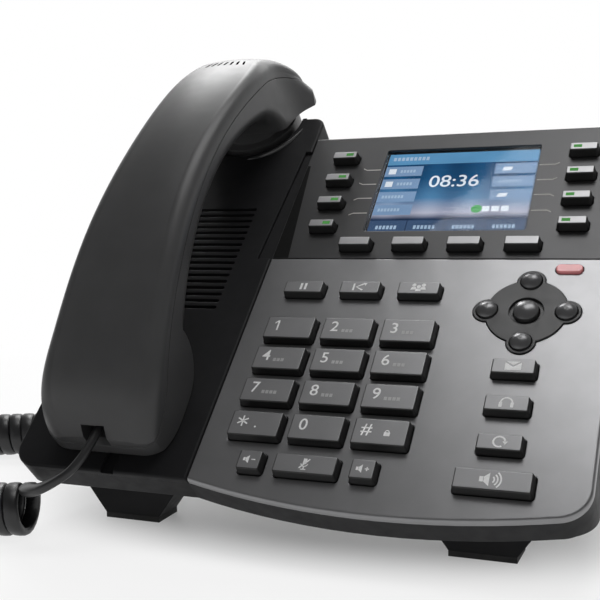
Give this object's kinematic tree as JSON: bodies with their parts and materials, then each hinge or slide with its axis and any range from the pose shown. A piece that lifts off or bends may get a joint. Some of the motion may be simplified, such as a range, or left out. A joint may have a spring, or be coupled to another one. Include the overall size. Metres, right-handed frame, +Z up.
{
  "type": "desk ip phone",
  "caption": "Sloping desk telephone base with keypad, colour display and line keys, a corded handset resting in a side cradle, on front legs and a rear stand.",
  "frame": {"origin": "centre of the phone's footprint on the table, its cord left out", "axes": "+X to the user's right across the face, +Y away from the user, +Z up"},
  "size_m": [0.3437, 0.2023, 0.1712],
  "materials": {
    "housing": "fine moulded texture",
    "face": "satin grey paint",
    "bezel": "satin dark grey paint",
    "handset": "soft-touch charcoal",
    "key": "satin dark grey with white printed legends",
    "gloss_black": "polished black",
    "lens": "clear window",
    "lcd": "lit colour display",
    "lamp": "translucent red",
    "membrane": "silicone mat",
    "board": "circuit board with plastic sockets",
    "driver": "steel basket and paper cone",
    "capsule": "plain",
    "rubber": "plain",
    "cord": "satin cord sheath",
    "plug": "clear plug"
  },
  "bodies": {
    "base": {"rear_housing": "housing", "cradle_cover": "housing", "desk_stand": "housing", "face_panel": "face", "display_bezel": "bezel", "nav_plate": "gloss_black", "display_lens": "lens", "lcd_module": "lcd", "message_lamp": "lamp", "keypad_membrane": "membrane", "main_board": "board", "loudspeaker": "driver", "rubber_feet": "rubber", "cord_leads": "cord", "cord_curl": "cord", "base_plug": "plug"},
    "handset": {"handset_back_shell": "handset", "handset_front_shell": "handset", "handset_capsules": "capsule", "handset_plug": "plug"},
    "hookswitch": {"hookswitch_plunger": "key"},
    "key_1": {"key_1": "key"},
    "key_2": {"key_2": "key"},
    "key_3": {"key_3": "key"},
    "key_4": {"key_4": "key"},
    "key_5": {"key_5": "key"},
    "key_6": {"key_6": "key"},
    "key_7": {"key_7": "key"},
    "key_8": {"key_8": "key"},
    "key_9": {"key_9": "key"},
    "key_star": {"key_star": "key"},
    "key_0": {"key_0": "key"},
    "key_hash": {"key_hash": "key"},
    "key_hold": {"key_hold": "key"},
    "key_transfer": {"key_transfer": "key"},
    "key_conference": {"key_conference": "key"},
    "key_volume_down": {"key_volume_down": "key"},
    "key_mute": {"key_mute": "key"},
    "key_volume_up": {"key_volume_up": "key"},
    "key_speaker": {"key_speaker": "key"},
    "key_redial": {"key_redial": "key"},
    "key_headset": {"key_headset": "key"},
    "key_message": {"key_message": "key"},
    "line_key_left_1": {"line_key_left_1": "key"},
    "line_key_left_2": {"line_key_left_2": "key"},
    "line_key_left_3": {"line_key_left_3": "key"},
    "line_key_left_4": {"line_key_left_4": "key"},
    "line_key_right_1": {"line_key_right_1": "key"},
    "line_key_right_2": {"line_key_right_2": "key"},
    "line_key_right_3": {"line_key_right_3": "key"},
    "line_key_right_4": {"line_key_right_4": "key"},
    "soft_key_1": {"soft_key_1": "key"},
    "soft_key_2": {"soft_key_2": "key"},
    "soft_key_3": {"soft_key_3": "key"},
    "soft_key_4": {"soft_key_4": "key"},
    "nav_up": {"nav_up": "gloss_black"},
    "nav_down": {"nav_down": "gloss_black"},
    "nav_left": {"nav_left": "gloss_black"},
    "nav_right": {"nav_right": "gloss_black"},
    "nav_ok": {"nav_ok": "gloss_black"}
  },
  "joints": [
    {"name": "handset_lift", "type": "slide", "parent": "base", "child": "handset", "axis": [0, -0.6691, 0.7431], "range_m": [0, 0.12], "deforming": ["cord_leads", "cord_curl"]},
    {"name": "hookswitch_rise", "type": "slide", "parent": "base", "child": "hookswitch", "axis": [0, -0.6691, 0.7431], "range_m": [0, 0.004]},
    {"name": "key_1_press", "type": "slide", "parent": "base", "child": "key_1", "axis": [0, 0.6691, -0.7431], "range_m": [0, 0.0016], "stiffness_N_per_m": 300, "springref_m": -0.002},
    {"name": "key_2_press", "type": "slide", "parent": "base", "child": "key_2", "axis": [0, 0.6691, -0.7431], "range_m": [0, 0.0016], "stiffness_N_per_m": 300, "springref_m": -0.002},
    {"name": "key_3_press", "type": "slide", "parent": "base", "child": "key_3", "axis": [0, 0.6691, -0.7431], "range_m": [0, 0.0016], "stiffness_N_per_m": 300, "springref_m": -0.002},
    {"name": "key_4_press", "type": "slide", "parent": "base", "child": "key_4", "axis": [0, 0.6691, -0.7431], "range_m": [0, 0.0016], "stiffness_N_per_m": 300, "springref_m": -0.002},
    {"name": "key_5_press", "type": "slide", "parent": "base", "child": "key_5", "axis": [0, 0.6691, -0.7431], "range_m": [0, 0.0016], "stiffness_N_per_m": 300, "springref_m": -0.002},
    {"name": "key_6_press", "type": "slide", "parent": "base", "child": "key_6", "axis": [0, 0.6691, -0.7431], "range_m": [0, 0.0016], "stiffness_N_per_m": 300, "springref_m": -0.002},
    {"name": "key_7_press", "type": "slide", "parent": "base", "child": "key_7", "axis": [0, 0.6691, -0.7431], "range_m": [0, 0.0016], "stiffness_N_per_m": 300, "springref_m": -0.002},
    {"name": "key_8_press", "type": "slide", "parent": "base", "child": "key_8", "axis": [0, 0.6691, -0.7431], "range_m": [0, 0.0016], "stiffness_N_per_m": 300, "springref_m": -0.002},
    {"name": "key_9_press", "type": "slide", "parent": "base", "child": "key_9", "axis": [0, 0.6691, -0.7431], "range_m": [0, 0.0016], "stiffness_N_per_m": 300, "springref_m": -0.002},
    {"name": "key_star_press", "type": "slide", "parent": "base", "child": "key_star", "axis": [0, 0.6691, -0.7431], "range_m": [0, 0.0016], "stiffness_N_per_m": 300, "springref_m": -0.002},
    {"name": "key_0_press", "type": "slide", "parent": "base", "child": "key_0", "axis": [0, 0.6691, -0.7431], "range_m": [0, 0.0016], "stiffness_N_per_m": 300, "springref_m": -0.002},
    {"name": "key_hash_press", "type": "slide", "parent": "base", "child": "key_hash", "axis": [0, 0.6691, -0.7431], "range_m": [0, 0.0016], "stiffness_N_per_m": 300, "springref_m": -0.002},
    {"name": "key_hold_press", "type": "slide", "parent": "base", "child": "key_hold", "axis": [0, 0.6691, -0.7431], "range_m": [0, 0.0016], "stiffness_N_per_m": 300, "springref_m": -0.002},
    {"name": "key_transfer_press", "type": "slide", "parent": "base", "child": "key_transfer", "axis": [0, 0.6691, -0.7431], "range_m": [0, 0.0016], "stiffness_N_per_m": 300, "springref_m": -0.002},
    {"name": "key_conference_press", "type": "slide", "parent": "base", "child": "key_conference", "axis": [0, 0.6691, -0.7431], "range_m": [0, 0.0016], "stiffness_N_per_m": 300, "springref_m": -0.002},
    {"name": "key_volume_down_press", "type": "slide", "parent": "base", "child": "key_volume_down", "axis": [0, 0.6691, -0.7431], "range_m": [0, 0.0016], "stiffness_N_per_m": 300, "springref_m": -0.002},
    {"name": "key_mute_press", "type": "slide", "parent": "base", "child": "key_mute", "axis": [0, 0.6691, -0.7431], "range_m": [0, 0.0016], "stiffness_N_per_m": 300, "springref_m": -0.002},
    {"name": "key_volume_up_press", "type": "slide", "parent": "base", "child": "key_volume_up", "axis": [0, 0.6691, -0.7431], "range_m": [0, 0.0016], "stiffness_N_per_m": 300, "springref_m": -0.002},
    {"name": "key_speaker_press", "type": "slide", "parent": "base", "child": "key_speaker", "axis": [0, 0.6691, -0.7431], "range_m": [0, 0.0016], "stiffness_N_per_m": 300, "springref_m": -0.002},
    {"name": "key_redial_press", "type": "slide", "parent": "base", "child": "key_redial", "axis": [0, 0.6691, -0.7431], "range_m": [0, 0.0016], "stiffness_N_per_m": 300, "springref_m": -0.002},
    {"name": "key_headset_press", "type": "slide", "parent": "base", "child": "key_headset", "axis": [0, 0.6691, -0.7431], "range_m": [0, 0.0016], "stiffness_N_per_m": 300, "springref_m": -0.002},
    {"name": "key_message_press", "type": "slide", "parent": "base", "child": "key_message", "axis": [0, 0.6691, -0.7431], "range_m": [0, 0.0016], "stiffness_N_per_m": 300, "springref_m": -0.002},
    {"name": "line_key_left_1_press", "type": "slide", "parent": "base", "child": "line_key_left_1", "axis": [0, 0.6691, -0.7431], "range_m": [0, 0.0016], "stiffness_N_per_m": 300, "springref_m": -0.002},
    {"name": "line_key_left_2_press", "type": "slide", "parent": "base", "child": "line_key_left_2", "axis": [0, 0.6691, -0.7431], "range_m": [0, 0.0016], "stiffness_N_per_m": 300, "springref_m": -0.002},
    {"name": "line_key_left_3_press", "type": "slide", "parent": "base", "child": "line_key_left_3", "axis": [0, 0.6691, -0.7431], "range_m": [0, 0.0016], "stiffness_N_per_m": 300, "springref_m": -0.002},
    {"name": "line_key_left_4_press", "type": "slide", "parent": "base", "child": "line_key_left_4", "axis": [0, 0.6691, -0.7431], "range_m": [0, 0.0016], "stiffness_N_per_m": 300, "springref_m": -0.002},
    {"name": "line_key_right_1_press", "type": "slide", "parent": "base", "child": "line_key_right_1", "axis": [0, 0.6691, -0.7431], "range_m": [0, 0.0016], "stiffness_N_per_m": 300, "springref_m": -0.002},
    {"name": "line_key_right_2_press", "type": "slide", "parent": "base", "child": "line_key_right_2", "axis": [0, 0.6691, -0.7431], "range_m": [0, 0.0016], "stiffness_N_per_m": 300, "springref_m": -0.002},
    {"name": "line_key_right_3_press", "type": "slide", "parent": "base", "child": "line_key_right_3", "axis": [0, 0.6691, -0.7431], "range_m": [0, 0.0016], "stiffness_N_per_m": 300, "springref_m": -0.002},
    {"name": "line_key_right_4_press", "type": "slide", "parent": "base", "child": "line_key_right_4", "axis": [0, 0.6691, -0.7431], "range_m": [0, 0.0016], "stiffness_N_per_m": 300, "springref_m": -0.002},
    {"name": "soft_key_1_press", "type": "slide", "parent": "base", "child": "soft_key_1", "axis": [0, 0.6691, -0.7431], "range_m": [0, 0.0016], "stiffness_N_per_m": 300, "springref_m": -0.002},
    {"name": "soft_key_2_press", "type": "slide", "parent": "base", "child": "soft_key_2", "axis": [0, 0.6691, -0.7431], "range_m": [0, 0.0016], "stiffness_N_per_m": 300, "springref_m": -0.002},
    {"name": "soft_key_3_press", "type": "slide", "parent": "base", "child": "soft_key_3", "axis": [0, 0.6691, -0.7431], "range_m": [0, 0.0016], "stiffness_N_per_m": 300, "springref_m": -0.002},
    {"name": "soft_key_4_press", "type": "slide", "parent": "base", "child": "soft_key_4", "axis": [0, 0.6691, -0.7431], "range_m": [0, 0.0016], "stiffness_N_per_m": 300, "springref_m": -0.002},
    {"name": "nav_up_press", "type": "slide", "parent": "base", "child": "nav_up", "axis": [0, 0.6691, -0.7431], "range_m": [0, 0.0016], "stiffness_N_per_m": 300, "springref_m": -0.002},
    {"name": "nav_down_press", "type": "slide", "parent": "base", "child": "nav_down", "axis": [0, 0.6691, -0.7431], "range_m": [0, 0.0016], "stiffness_N_per_m": 300, "springref_m": -0.002},
    {"name": "nav_left_press", "type": "slide", "parent": "base", "child": "nav_left", "axis": [0, 0.6691, -0.7431], "range_m": [0, 0.0016], "stiffness_N_per_m": 300, "springref_m": -0.002},
    {"name": "nav_right_press", "type": "slide", "parent": "base", "child": "nav_right", "axis": [0, 0.6691, -0.7431], "range_m": [0, 0.0016], "stiffness_N_per_m": 300, "springref_m": -0.002},
    {"name": "nav_ok_press", "type": "slide", "parent": "base", "child": "nav_ok", "axis": [0, 0.6691, -0.7431], "range_m": [0, 0.0016], "stiffness_N_per_m": 300, "springref_m": -0.002}
  ],
  "couplings": [
    {"joint": "hookswitch_rise", "follows": "handset_lift", "ratio": 0.0333}
  ]
}
